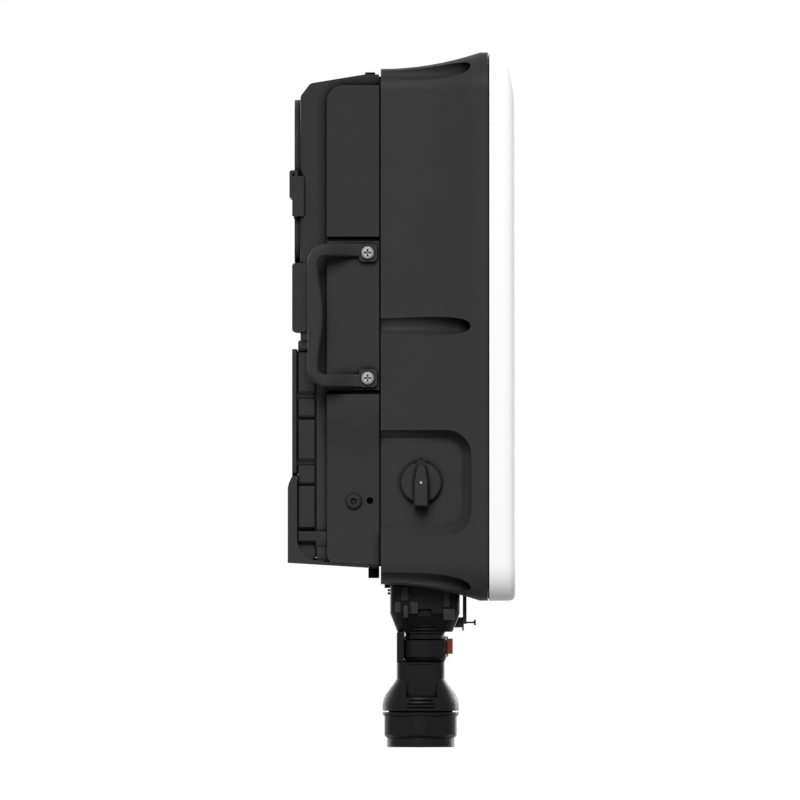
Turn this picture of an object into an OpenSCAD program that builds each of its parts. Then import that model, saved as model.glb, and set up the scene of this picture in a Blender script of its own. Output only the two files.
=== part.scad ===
// Hybrid inverter for a wall, hung by a rail on its back.
// +Z is up, the front faces -Y, and +X is to the right seen from the front.
// The origin is the middle of the hanger's hook seat, which rests on the wall rail.

/* [Body] */
// Width of the front cover and of the housing's front flange
body_w = 480; // [460:1:500]
// Height of the front cover
body_h = 549; // [540:1:570]
// Height of the body's top edge above the hook seat
hook_drop = 121; // [115:1:130]
// Corner radius of the body seen from the front
corner_r = 38; // [34:1:42]
// Distance from the hook seat to the wall
wall_gap = 5.8; // [5.6:0.1:6.4]
// Distance from the wall to the back face of the rear housing
rear_gap = 12.7; // [12.5:0.1:13.2]
// Depth of the rear housing
rear_d = 78.7; // [76:0.1:84]
// Thickness of the seal between the heat sink and the front housing
seam_gap = 1.8; // [1.4:0.1:2.4]
// Depth of the front housing
housing_d = 107.2; // [104:0.1:114]
// Thickness of the seal between the front housing and the cover
cover_gap = 1.4; // [1:0.1:2]
// Depth of the front cover
cover_d = 26; // [24:0.5:30]

/* [Front housing] */
// How far the walls flare out from the seam to the front flange
flare_out = 16.5; // [14:0.5:18]
// Depth of the straight lip at the front flange
lip_d = 8; // [6:0.5:10]
// Thickness of the die-cast walls
wall_t = 4; // [3.5:0.1:4.5]
// Thickness of the back wall
back_t = 5; // [4:0.5:6]
// Thickness of the front flange
flange_t = 5; // [4:0.5:7]
// Width of the front flange
flange_w = 22; // [21:0.5:26]
// Radius of the screw channels along the sides
scoop_r = 9.2; // [8.5:0.1:9.6]
// Distance from the front of the screw channels to the flange
scoop_end = 9.2; // [8:0.1:12]
// Height of the middle screw channel below the hook seat
scoop_drop = 152.9; // [140:0.1:165]

/* [Front cover] */
// Thickness of the cover's front and outer walls
cover_t = 3.5; // [3:0.1:4]
// Width of the double rim that holds the seal
rim_w = 15; // [14.5:0.5:17]
// Radius of the edge along the sides
cover_side_r = 9; // [6:0.5:10]
// Radius of the bottom edge
cover_bottom_r = 6; // [4:0.5:8]
// Height of the rolled top edge
crown_h = 30; // [20:1:36]
// Depth of the rolled top edge
crown_d = 12.5; // [10:0.5:14]
// Radius of the cover screws
cover_screw_r = 2.5; // [2.2:0.1:3]
// Radius of the cover screws' heads
cover_head_r = 4.6; // [4:0.1:5]
// Length of the status light
lens_w = 64; // [40:1:90]
// Height of the status light
lens_h = 6; // [4:0.5:9]
// Distance of the status light below the top edge
lens_drop = 150; // [100:1:200]

/* [Rear housing] */
// Half width of the rear housing behind its side pads
rear_half = 212; // [210:0.5:214]
// How far the side pads stand out
pad_t = 12; // [11.5:0.1:13]
// Depth of the dished step in the side pads
dish_t = 8; // [6:0.5:9]
// Distance from the body's top edge to the top of the rear housing
rear_top_drop = 22; // [20:0.5:26]
// Distance from the body's bottom edge to the bottom of the rear housing
rear_bottom_rise = 32.4; // [31:0.1:36]
// Depth of the side pads
pad_d = 52.2; // [50:0.1:56]
// Width of the grooves across the side pads
groove_w = 4.3; // [3:0.1:6]
// Depth of those grooves
groove_t = 5; // [3:0.5:6]
// Thickness of the rear housing's walls
rear_t = 4; // [3:0.1:5]
// Depth of the step that the fan tray sits in
tray_step = 16.4; // [16:0.1:17.5]
// Height of the top of that step below the hook seat
tray_top_drop = 167.5; // [164:0.5:172]
// Height of the air slots in the top wall
vent_d = 3.6; // [3:0.1:3.8]

/* [Heat sink] */
// Thickness of the heat sink's base
base_t = 8; // [6:0.5:10]
// Half width of the heat sink's base
base_half = 205; // [203:0.5:206]
// Thickness of one fin
fin_t = 2.4; // [1.6:0.1:3.2]
// Distance from fin to fin
fin_pitch = 9.2; // [8:0.1:11]
// Clearance round the heat sink's base
base_fit = 0.4; // [0.2:0.05:0.6]

/* [Hanger] */
// Thickness of the hanger's sheet
sheet_t = 3; // [2.5:0.1:3.2]
// Width of the slot that takes the wall rail
hook_slot = 2.2; // [2:0.1:2.6]
// Length of the hook's lip
lip_h = 23.7; // [18:0.1:30]
// Height of the hanger's leg
leg_h = 43.5; // [40:0.5:60]
// Thickness of the raised rear panel
panel_t = 5.6; // [5.2:0.1:5.8]
// Radius of the hanger's screws
hanger_screw_r = 3; // [2.5:0.1:3.5]

/* [Fans] */
// Side of one fan's square frame
fan_side = 119.5; // [116:0.5:120]
// Depth of one fan's frame
fan_d = 25; // [22:0.5:27]
// Radius of the fan's bore
fan_bore_r = 57.5; // [56:0.1:58]
// Radius of the rotor's hub
fan_hub_r = 20; // [18:0.5:23]
// Number of blades
fan_blades = 7; // [5:1:9]
// Running gap between the blade tips and the bore
tip_gap = 1.8; // [1.2:0.1:2.5]
// Distance from fan to fan
fan_pitch = 130; // [124:0.5:132]
// Height of the fans' centres below the hook seat
fan_drop = 239.5; // [236:0.5:243]
// Radius of the fan's shaft
fan_shaft_r = 1.6; // [1.4:0.1:2]
// Running clearance of a shaft in its bearing
shaft_fit = 0.05; // [0.03:0.01:0.08]

/* [Handles] */
// Length of a handle, outside
handle_l = 143.6; // [138:0.1:150]
// Depth of a handle seen from the side
handle_d = 69; // [66:0.5:70]
// Thickness of a handle's arms
arm_t = 13; // [11:0.5:15]
// Thickness of the grip across the hand
grip_t = 10.3; // [9:0.1:12]
// Free height under the grip for the fingers
finger_gap = 26; // [24:0.5:32]
// Height of the handle's top below the hook seat
handle_drop = 70.5; // [66:0.5:72]
// Radius of the handle screws' heads
handle_head_r = 6.3; // [5.5:0.1:7]
// Radius of the handle screws
handle_screw_r = 3; // [2.5:0.1:3]
// Distance from screw to screw
handle_pitch = 125.5; // [124:0.1:127]

/* [Switch] */
// Height of the switch's centre below the hook seat
switch_drop = 309.7; // [305:0.5:315]
// Distance of the switch's centre in front of the seam
switch_d = 40.3; // [38:0.1:44]
// Height of the recess floor
recess_h = 89; // [84:0.5:94]
// Distance from the seam to the front of the recess floor
recess_d = 82.1; // [78:0.1:84]
// Radius of the recess floor's corners
recess_r = 17; // [14:0.5:20]
// How far the recess walls lean out over their lower part
recess_flare = 8; // [6:0.5:9]
// Distance from the edge of the body to the recess floor
recess_in = 26; // [25:0.5:27]
// Radius of the knob's round skirt
knob_r = 20.3; // [18:0.1:24]
// Thickness of the knob's skirt
knob_skirt = 7; // [5:0.5:9]
// Height of the knob over the recess floor
knob_h = 25; // [20:0.5:27]
// Width of the knob's blade at its foot
blade_w = 15; // [12:0.5:16]
// How far the blade's sides lean in from foot to top
blade_lean = 1.5; // [1:0.1:2]
// Radius of the switch's shaft
shaft_r = 5; // [4:0.1:6]

/* [Earth terminal] */
// Height of the earth screw below the hook seat
earth_drop = 328.4; // [320:0.5:335]
// Distance of the earth screw behind the rear housing's front edge
earth_d = 25.3; // [24:0.1:28]
// Radius of the earth screw's head
earth_head_r = 7.4; // [6.5:0.1:8]
// Radius of the earth screw
earth_screw_r = 3; // [2.5:0.1:3.5]

/* [Connectors] */
// Distance of the mains connector from the middle of the body
ac_x = 150; // [140:1:155]
// Distance of the mains socket's axis in front of the seam
socket_d = 44.2; // [43:0.1:46]
// Distance of the cable's axis in front of the seam
cable_d = 39.9; // [39:0.1:41]
// Side of the socket's block
socket_side = 69.8; // [66:0.1:72]
// Height of the socket's straight part
socket_h = 29; // [26:0.5:32]
// Height of the socket's taper
taper_h = 19; // [16:0.5:22]
// Radius of the socket's threaded barrel
barrel_r = 19.5; // [19:0.1:20]
// Radius of the plug's neck
neck_r = 17.4; // [17:0.1:17.6]
// Height of the lock ring
lock_h = 22; // [20:0.5:24]
// Half width of the lock ring across its flats
lock_r = 22.5; // [22.3:0.1:24]
// Height of the plug's body
plug_h = 48.4; // [46:0.1:52]
// Width of the plug's body
plug_w = 47.8; // [46:0.1:50]
// Radius of the plug's flare
plug_flare_r = 38.1; // [36:0.1:40]
// Height of the gland nut
nut_h = 34.8; // [32:0.1:38]
// Radius of the gland nut's flange
nut_r = 38.1; // [37:0.1:40]
// Half width of the gland nut across its flats
nut_flat = 35.5; // [34.5:0.1:36]
// Radius of the opening for the mains cable
cable_r = 11; // [9:0.5:14]
// Width of the release tab
tab_w = 12; // [10:0.5:14]
// Height of the release tab
tab_h = 15.3; // [13:0.1:16]
// Travel of the release tab
tab_travel = 2; // [1.5:0.1:2.2]

/* [Hidden] */
$fn = 48;

// Colours
black = [0.13, 0.13, 0.135];
deep_black = [0.07, 0.07, 0.075];
white = [0.93, 0.93, 0.93];
rubber = [0.05, 0.05, 0.05];
steel = [0.75, 0.75, 0.76];
aluminium = [0.7, 0.71, 0.72];
board_green = [0.08, 0.3, 0.16];
copper = [0.72, 0.45, 0.2];
tab_red = [0.48, 0.19, 0.12];

// Places along Y, from the wall to the front
wall_y = wall_gap;
back_y = wall_y - rear_gap;
rear_front_y = back_y - rear_d;
seam_y = rear_front_y - seam_gap;
flange_y = seam_y - housing_d;
cover_y = flange_y - cover_gap;
front_y = cover_y - cover_d;
base_y = rear_front_y + base_t;
tray_y = back_y - tray_step;
pad_y = rear_front_y + pad_d;

// Places along X and Z
half_w = body_w / 2;
top_z = hook_drop;
bottom_z = hook_drop - body_h;
mid_z = (top_z + bottom_z) / 2;
pad_half = rear_half + pad_t;
dish_half = pad_half - dish_t;
rear_top = top_z - rear_top_drop;
rear_bottom = bottom_z + rear_bottom_rise;
tray_top = -tray_top_drop;
floor_z = bottom_z + flare_out;

// Small fits and steps
clear = 0.3;
screw_fit = 0.15;
over = 1;
corner_steps = 7;
round_steps = 6;
flare_steps = 8;
crown_steps = 8;

// Extrusions of a flat outline along each axis
module along_x(x0, x1) {
    translate([x0, 0, 0]) rotate([90, 0, 90]) linear_extrude(x1 - x0) children();
}

module along_y(y0, y1) {
    translate([0, y0, 0]) rotate([90, 0, 0]) linear_extrude(y0 - y1) children();
}

module along_z(z0, z1) {
    translate([0, 0, z0]) linear_extrude(z1 - z0) children();
}

// A box between two corners
module span(a, b) {
    translate([min(a[0], b[0]), min(a[1], b[1]), min(a[2], b[2])])
        cube([abs(b[0] - a[0]), abs(b[1] - a[1]), abs(b[2] - a[2])]);
}

// A cylinder along Y from y0 towards the front, and one along X
module rod_y(x, z, r, y0, y1) {
    translate([x, y0, z]) rotate([90, 0, 0]) cylinder(r = r, h = y0 - y1);
}

module rod_x(y, z, r, x0, x1) {
    translate([x0, y, z]) rotate([0, 90, 0]) cylinder(r = r, h = x1 - x0);
}

// A flat rectangle with round corners
module soft_rect(w, h, r) {
    offset(r = r) square([w - 2 * r, h - 2 * r], center = true);
}

// The points of a rectangle with round corners, anticlockwise
function rounded(w, h, r) = [
    for (q = [0:3], i = [0:corner_steps])
        let (a = 90 * (q + i / corner_steps),
             sx = (q == 0 || q == 3) ? 1 : -1,
             sy = q < 2 ? 1 : -1)
        [sx * (w / 2 - r) + r * cos(a), sy * (h / 2 - r) + r * sin(a)]
];

// A closed skin over rings that have the same number of points.
// Each ring runs anticlockwise seen from the side of the last ring.
module skin(rings) {
    n = len(rings[0]);
    last = len(rings) - 1;
    points = [for (ring = rings) for (p = ring) p];
    sides = [
        for (k = [0:last - 1], i = [0:n - 1])
            let (j = (i + 1) % n, a = k * n + i, b = k * n + j, c = a + n, d = b + n)
            each [[a, c, d], [a, d, b]]
    ];
    first_cap = [for (i = [1:n - 2]) [0, i, i + 1]];
    last_cap = [for (i = [1:n - 2]) [last * n, last * n + i + 1, last * n + i]];
    polyhedron(points, concat(sides, first_cap, last_cap));
}

// The body's outline across Y, drawn in by d, with more at the top and bottom
function body_ring(d, y, up = 0, down = 0) = [
    for (p = rounded(body_w - 2 * d, body_h - 2 * d - up - down, max(corner_r - d, 2)))
        [p[0], y, p[1] + mid_z + (down - up) / 2]
];

module body_outline(d) {
    translate([0, mid_z]) soft_rect(body_w - 2 * d, body_h - 2 * d, max(corner_r - d, 2));
}

// How far the front housing's wall lies inside the body's outline at a depth
function flare(y) =
    let (u = min(1, (seam_y - y) / (housing_d - lip_d)))
    flare_out * (1 - u * u);

// Places of the six screw channels: a corner pair at the top, one at mid height, one below
scoop_in = flare_out - (scoop_r - 4.2);
corner_out = (corner_r - flare_out + 5) * cos(45);
scoop_x = half_w - corner_r + corner_out;
scoop_spots = [
    [scoop_x, top_z - corner_r + corner_out],
    [half_w - scoop_in, -scoop_drop],
    [scoop_x, bottom_z + corner_r - corner_out]
];
scoop_front = flange_y + scoop_end;

module at_scoops() {
    for (s = [-1, 1], p = scoop_spots) translate([s * p[0], 0, p[1]]) children();
}

// One screw channel: a bore along Y with a pointed round end
module scoop(r) {
    stretch = 1.5;
    centre_y = scoop_front + stretch * scoop_r;
    back = centre_y - seam_y - over;
    translate([0, centre_y, 0]) rotate([90, 0, 0]) rotate_extrude() polygon(concat(
        [[0, back], [r, back]],
        [for (i = [0:round_steps]) let (a = 90 * i / round_steps) [r * cos(a), stretch * r * sin(a)]]
    ));
}

// FRONT COVER
// How far a rolled edge with half axes a (depth) and b draws in at depth s
function roll(s, a, b) = s >= a ? 0 : b * (1 - sqrt(1 - pow(1 - s / a, 2)));

function crown_ring(s) =
    let (d = roll(s, cover_side_r, cover_side_r))
    body_ring(d, front_y + s, roll(s, crown_d, crown_h) - d,
        roll(s, cover_bottom_r, cover_bottom_r) - d);

lens_z = top_z - lens_drop;
lens_t = 2;

module lens_outline(grow) {
    translate([0, lens_z]) soft_rect(lens_w + 2 * grow, lens_h + 2 * grow, lens_h / 2 - 0.01 + grow);
}

module front_cover() {
    rib_t = 4;
    groove_end = front_y + crown_d;
    color(white) difference() {
        skin([
            body_ring(0, cover_y),
            for (i = [crown_steps:-1:0]) crown_ring(crown_d * (1 - cos(90 * i / crown_steps)))
        ]);
        along_y(cover_y + over, front_y + cover_t) body_outline(rim_w);
        difference() {
            along_y(cover_y + over, groove_end) difference() {
                body_outline(cover_t);
                body_outline(rim_w - rib_t);
            }
            at_scoops() rod_y(0, 0, cover_screw_r + 2.4, cover_y + 2 * over, groove_end - over);
        }
        at_scoops() rod_y(0, 0, cover_screw_r - screw_fit, cover_y + over, front_y + crown_d);
        along_y(front_y + lens_t, front_y - over) lens_outline(clear);
        along_y(front_y + cover_t + over, front_y) lens_outline(-1.2);
    }
}

module status_lens() {
    color([0.75, 0.78, 0.8]) along_y(front_y + lens_t, front_y + 0.2) lens_outline(0);
}

module cover_gasket() {
    rib_t = 4;
    color(rubber) along_y(flange_y, cover_y) difference() {
        union() {
            difference() {
                body_outline(rim_w - rib_t);
                body_outline(rim_w);
            }
            for (s = [-1, 1], p = scoop_spots) translate([s * p[0], p[1]]) circle(r = cover_screw_r + 2.4);
        }
        for (s = [-1, 1], p = scoop_spots) translate([s * p[0], p[1]]) circle(r = cover_screw_r + screw_fit);
    }
}

module cover_screws() {
    head_y = scoop_front + 2;
    color(steel) at_scoops() difference() {
        union() {
            rod_y(0, 0, cover_screw_r - 2 * screw_fit, head_y, front_y + crown_d + 2);
            rod_y(0, 0, cover_head_r, head_y + 4, head_y);
        }
        translate([0, head_y + 4 + over, 0]) rotate([90, 0, 0]) cylinder(r = 2.3, h = 2.5 + over, $fn = 6);
    }
}

// FRONT HOUSING
// The pocket that the knob stands in, as a skin of rings across X
recess_x = half_w - recess_in;
recess_y = seam_y - recess_d;
recess_back = seam_y + 36;

function recess_ring(x, g) = [
    for (p = rounded(recess_back - recess_y + 2 * g, recess_h + 2 * g, recess_r + g))
        [x, (recess_back + recess_y) / 2 - p[0], p[1] - switch_drop]
];

module switch_recess() {
    skin([
        recess_ring(-recess_x, 0),
        recess_ring(-recess_x - recess_flare, recess_flare),
        recess_ring(-half_w - over, recess_flare + 0.6)
    ]);
}

// The flat floor under the body that carries the sockets
recess_low_half = 192;
recess_low_d = 90;

module bottom_recess(grow) {
    translate([0, 0, bottom_z - over]) linear_extrude(flare_out + over + grow)
        translate([0, seam_y + 20 - (recess_low_d + 20) / 2])
            soft_rect(2 * (recess_low_half + grow), recess_low_d + 20 + 2 * grow, 14);
}

// The window that the power electronics sit in, on the heat sink
window_half = 186;
window_top = rear_top - 26;
window_low = rear_bottom + 26;

module window_outline(grow) {
    translate([0, (window_top + window_low) / 2])
        soft_rect(2 * (window_half + grow), window_top - window_low + 2 * grow, 8);
}

switch_y = seam_y - switch_d;
socket_y = seam_y - socket_d;
cable_y = seam_y - cable_d;
pv_r = 7;
pv_spots = [for (i = [0:3], j = [0:1]) [-66 + 24 * i, socket_y + 10 - 24 * j]];
battery_r = 8.5;
battery_spots = [[34, socket_y], [60, socket_y]];
com_x = 92;
vent_x = -92;

module front_housing() {
    first = seam_y - back_t;
    last = flange_y + flange_t;
    recess_wall = recess_flare + wall_t;
    color(black) difference() {
        skin([
            for (k = [0:flare_steps])
                let (y = seam_y - (housing_d - lip_d) * k / flare_steps)
                body_ring(flare(y), y),
            body_ring(0, flange_y)
        ]);
        difference() {
            skin([
                for (k = [0:6])
                    let (y = first + (last - first) * k / 6)
                    body_ring(flare(y) + wall_t, y)
            ]);
            at_scoops() scoop(scoop_r + wall_t);
            bottom_recess(wall_t);
            span([-half_w, recess_y - recess_wall, -switch_drop - recess_h / 2 - recess_wall],
                 [-recess_x + wall_t, seam_y, -switch_drop + recess_h / 2 + recess_wall]);
        }
        along_y(last + over, flange_y - over) body_outline(flange_w);
        along_y(seam_y + over, first - over) window_outline(0);
        at_scoops() scoop(scoop_r);
        at_scoops() rod_y(0, 0, cover_head_r + 0.4, scoop_front + scoop_r, scoop_front + 2);
        at_scoops() rod_y(0, 0, cover_screw_r + screw_fit, scoop_front + scoop_r, flange_y - over);
        switch_recess();
        rod_x(switch_y, -switch_drop, shaft_r + 2.2, -half_w, -recess_x + wall_t + over);
        bottom_recess(0);
        for (s = [-1, 1]) translate([s * ac_x, socket_y, floor_z - over])
            cylinder(r = barrel_r - 2, h = wall_t + 2 * over);
        for (p = concat(pv_spots, battery_spots)) translate([p[0], p[1], floor_z - over])
            cylinder(r = pv_r - 2, h = wall_t + 2 * over);
    }
}

module housing_screws() {
    for_x = [-150, 0, 150];
    y = rear_front_y + 9;
    color(steel) for (x = for_x) translate([x, y, 0]) {
        translate([0, 0, rear_top - 0.5]) cylinder(r = 5.1, h = 3.2);
        translate([0, 0, rear_top - 12]) cylinder(r = 2.2, h = 12);
    }
}

// REAR HOUSING

// The wall rest's foot lies under the rear housing's bottom and rises towards the wall
foot_front = rear_front_y + 11;
foot_lift = 3.6;
foot_slope = 0.062;
function foot_z(y) = rear_bottom + foot_lift + foot_slope * (y - foot_front);

// Side view of the rear housing, as points [Y, Z], drawn in by d, with a sharp corner over the fan tray
module rear_side(d) {
    translate([back_y - d - 7, tray_top + d]) square(7);
    offset(r = 6) offset(delta = -6) offset(delta = -d) polygon([
        [rear_front_y - 30, rear_top], [rear_front_y + 14, rear_top],
        [back_y - 10, rear_top - 9], [back_y, rear_top - 22],
        [back_y, tray_top], [tray_y, tray_top],
        [tray_y, rear_bottom], [rear_front_y - 30, rear_bottom]
    ]);
}

// Outline of the side pads seen along Y, with the dished step, drawn in by d
dish_top = -235;
dish_h = 53;
dish_steps = 8;

module pad_front(d) {
    dish = [for (i = [0:dish_steps]) let (t = i / dish_steps)
        [pad_half - d - dish_t * (1 - cos(180 * t)) / 2, dish_top - dish_h * t]];
    polygon(concat(
        [[rear_half - 6, rear_top - 8 - d], [pad_half - d - 3, rear_top - 8 - d], [pad_half - d, rear_top - 11 - d]],
        dish,
        [[dish_half - d, rear_bottom + 4 + d], [dish_half - d - 3, rear_bottom + 1 + d],
         [rear_half - 6, rear_bottom + 1 + d]]
    ));
}

module pad_side(d) {
    offset(r = 16) offset(delta = -16 - d)
        translate([rear_front_y - 40, rear_bottom])
            square([pad_d + 40, rear_top - rear_bottom - 11]);
}

module at_sides() {
    for (m = [0, 1]) mirror([m, 0, 0]) children();
}

handle_top = -handle_drop;
handle_mid = handle_top - handle_l / 2;
handle_back = rear_front_y + 2.3 + handle_d;
handle_screw_y = rear_front_y + 11.4;
handle_screw_z = [handle_mid + handle_pitch / 2, handle_mid - handle_pitch / 2];
earth_y = rear_front_y + earth_d;

module rear_shell() {
    groove_z = [handle_top + 7 - groove_w / 2, handle_top - handle_l - 2.8 - groove_w / 2];
    ledge_w = 7;
    ledge_t = 6;
    vent_half = base_half - 15;
    difference() {
        union() {
            intersection() {
                along_x(-rear_half, rear_half) rear_side(0);
                along_z(rear_bottom - 10, rear_top + 1)
                    translate([0, (back_y + rear_front_y) / 2 - 20])
                        soft_rect(2 * rear_half, back_y - rear_front_y + 40, 4);
                span([-pad_half, back_y, rear_bottom - 10], [pad_half, rear_front_y, rear_top + 1]);
            }
            at_sides() intersection() {
                along_y(pad_y, rear_front_y) pad_front(0);
                along_x(rear_half - 6, pad_half + over) pad_side(0);
            }
            for (x = [-ac_x, ac_x])
                span([x - 11, rear_front_y, rear_bottom - 10], [x + 11, rear_front_y + 11.6, rear_bottom + 6]);
        }
        // The pocket of the heat sink's base, a ledge behind it, and the air duct
        along_y(base_y, rear_front_y - over) base_outline(base_fit);
        along_y(base_y + ledge_t + over, base_y - over) base_outline(-ledge_w);
        intersection() {
            along_x(-rear_half + rear_t, rear_half - rear_t) rear_side(rear_t);
            span([-rear_half, back_y, rear_bottom + 11], [rear_half, base_y + ledge_t, rear_top]);
        }
        // Pockets behind the side pads, left solid round the handle screws
        at_sides() difference() {
            intersection() {
                along_y(pad_y - 4.5, rear_front_y - over) pad_front(5);
                along_x(rear_half - 2, pad_half) pad_side(5);
                span([rear_half - 2, back_y, dish_top + 4], [pad_half, rear_front_y - 2 * over, rear_top]);
            }
            for (z = handle_screw_z) rod_x(handle_screw_y, z, 7, rear_half - 3, pad_half);
            for (z = groove_z)
                span([rear_half - 3, pad_y, z - groove_w], [pad_half, rear_front_y - 3 * over, z + groove_w]);
        }
        at_sides() for (z = groove_z)
            span([pad_half - groove_t, pad_y + over, z - groove_w / 2], [pad_half + over, rear_front_y - over, z + groove_w / 2]);
        at_sides() for (z = handle_screw_z) rod_x(handle_screw_y, z, handle_screw_r, rear_half, pad_half + over);
        // Earth screw bores on the photographed side, one free for a second cable
        rod_x(earth_y, -earth_drop, earth_screw_r, -dish_half - over, -rear_half + 3);
        rod_x(earth_y - 16.2, -earth_drop + 0.7, 3.4, -dish_half - over, -rear_half + 3);
        along_x(-pad_half - over, pad_half + over) polygon([
            [foot_front - clear, foot_z(foot_front - clear)], [wall_y, foot_z(wall_y)],
            [wall_y, rear_bottom - 20], [foot_front - clear, rear_bottom - 20]
        ]);
        for (x = hanger_screw_x)
            rod_y(x, -leg_h / 2, hanger_screw_r + screw_fit, back_y + over, back_y - rear_t - over);
        // Window of the fans and air slots in the top wall
        span([-fan_pitch * 1.5, tray_y + over, -fan_drop - fan_side / 2 - 1],
             [fan_pitch * 1.5, tray_y - rear_t - over, -fan_drop + fan_side / 2 + 1]);
        for (x = [-vent_half:10:vent_half], k = [0:1])
            span([x - 3, rear_front_y + 22 + 12 * k, rear_top - 16], [x + 3, rear_front_y + 22 + 12 * k + vent_d, rear_top + 2]);
        for (x = [-150, 0, 150]) translate([x, rear_front_y + 9, rear_top - 14]) {
            cylinder(r = 2.2 + screw_fit, h = 16);
            translate([0, 0, 13.5]) cylinder(r = 5.3, h = 3);
        }
    }
}

// The frame in front, and the raised back wall behind it, meet at this plane
wall_split = tray_y + 1.5;

module rear_housing() {
    color(black) intersection() {
        rear_shell();
        span([-pad_half - 5, rear_front_y - 5, rear_bottom - 20], [pad_half + 5, wall_split, rear_top + 5]);
    }
}

module rear_wall() {
    color(black) intersection() {
        rear_shell();
        span([-pad_half - 5, wall_split, rear_bottom - 20], [pad_half + 5, back_y + 5, rear_top + 5]);
    }
}

// HEAT SINK
base_top = rear_top - 18;
base_low = rear_bottom + 12;

module base_outline(grow) {
    translate([0, (base_top + base_low) / 2])
        soft_rect(2 * (base_half + grow), base_top - base_low + 2 * grow, 8);
}

// The fins seen from above, as one comb
module fin_comb(depth) {
    count = floor((base_half - 18) / fin_pitch);
    polygon([
        each [[-count * fin_pitch - fin_t / 2, base_y - 1], [-count * fin_pitch - fin_t / 2, base_y + depth]],
        for (i = [-count:count - 1]) each [
            [i * fin_pitch + fin_t / 2, base_y + depth], [i * fin_pitch + fin_t / 2, base_y],
            [(i + 1) * fin_pitch - fin_t / 2, base_y], [(i + 1) * fin_pitch - fin_t / 2, base_y + depth]
        ],
        each [[count * fin_pitch + fin_t / 2, base_y + depth], [count * fin_pitch + fin_t / 2, base_y - 1]]
    ]);
}

module heat_sink() {
    long_fin = back_y - rear_t - 2 - base_y;
    short_fin = back_y - tray_step - rear_t - 8.5 - base_y;
    color(aluminium) union() {
        along_y(base_y, rear_front_y) base_outline(0);
        along_z(base_low + 16, tray_top + 8) fin_comb(short_fin);
        along_z(tray_top + 8, base_top - 16) fin_comb(long_fin);
    }
}

module heat_sink_gasket() {
    edge = 2;
    color(rubber) along_y(rear_front_y, seam_y) difference() {
        translate([0, (rear_top + rear_bottom) / 2])
            soft_rect(2 * (rear_half - edge), rear_top - rear_bottom - 2 * edge, 8);
        window_outline(4);
    }
}

// REAR PANEL AND HANGER
hanger_screw_x = [-150, -50, 50, 150];
panel_y = back_y + panel_t + clear;
panel_half = rear_half - 8;
slot_y = hook_slot / 2;
leg_y = -slot_y - sheet_t;

module rear_panel() {
    panel_top = rear_top - 25;
    panel_low = -89;
    color(black) difference() {
        along_y(panel_y, back_y) intersection() {
            translate([0, (panel_top + panel_low) / 2]) soft_rect(2 * panel_half, panel_top - panel_low, 25);
            translate([0, (panel_top + panel_low) / 2 - 60]) soft_rect(2 * panel_half, panel_top - panel_low + 120, 50);
        }
        span([-rear_half, panel_y + over, -leg_h - clear], [rear_half, leg_y, sheet_t + clear]);
        for (x = hanger_screw_x) rod_y(x, -leg_h / 2, hanger_screw_r + screw_fit, panel_y, back_y - over);
    }
}

// The cone of a countersunk screw in the leg, with a fit round it, begun a little behind the leg
module countersunk(x, fit, behind) {
    translate([x, behind - slot_y, -leg_h / 2]) rotate([90, 0, 0])
        cylinder(r1 = 2 * hanger_screw_r + fit + behind, r2 = hanger_screw_r + fit, h = sheet_t + behind);
}

module hanger_rail() {
    lip_y = slot_y + sheet_t;
    color(deep_black) difference() {
        union() {
            along_x(-rear_half - sheet_t, rear_half + sheet_t) polygon([
                [leg_y, -leg_h], [leg_y, sheet_t], [lip_y - 2, sheet_t], [lip_y - 0.6, sheet_t - 0.6],
                [lip_y, sheet_t - 2], [lip_y, -lip_h], [slot_y, -lip_h], [slot_y, 0], [-slot_y, 0],
                [-slot_y, -leg_h]
            ]);
            for (s = [-1, 1])
                span([s * rear_half, -slot_y + 2.4, -leg_h + 0.5], [s * (rear_half + sheet_t), back_y - 3.5, -2.8]);
        }
        for (x = hanger_screw_x) {
            rod_y(x, -leg_h / 2, hanger_screw_r + screw_fit, 0, back_y);
            countersunk(x, screw_fit, 0.2);
        }
    }
}

module hanger_screws() {
    color(steel) for (x = hanger_screw_x) {
        rod_y(x, -leg_h / 2, hanger_screw_r, -slot_y - 2, back_y - rear_t - over);
        countersunk(x, 0, 0);
    }
}

// The folded cover over the fans' wiring
trough_top = -90;
trough_low = -159;

module cable_trough() {
    trough_half = rear_half + clear + 2;
    cheek_y = back_y - 6.7;
    color(black) difference() {
        along_x(-trough_half, trough_half) offset(r = 3) offset(delta = -3)
            translate([cheek_y, trough_low]) square([guard_back - cheek_y, trough_top - trough_low]);
        span([-rear_half - clear, back_y, trough_low - over], [rear_half + clear, cheek_y - over, trough_top + over]);
        span([-rear_half + 2, back_y - over, trough_low + 2], [rear_half - 2, guard_back - 2, trough_top - 2]);
    }
}

// FAN TRAY
tray_low = -374;
tray_back = back_y + 2.3;
tray_wall = 3;
tray_gap = 14.25;
tray_half = fan_pitch + fan_side / 2 + tray_gap + tray_wall;
pad_steps = [[-167.5, 8], [-179.6, 38.4], [-226, 16.2], [-246.9, 38.1], [-292.5, 16.5], [-313, 41]];
band_z = [-358.6, -367.6];

// One raised pad on the tray's side seen along Y, sloped under its lower edge
module tray_pad(z0, h, out) {
    slope = 3.8;
    polygon([[tray_half - 1, z0], [out, z0], [out, z0 - h], [tray_half, z0 - h - slope], [tray_half - 1, z0 - h - slope]]);
}

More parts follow.
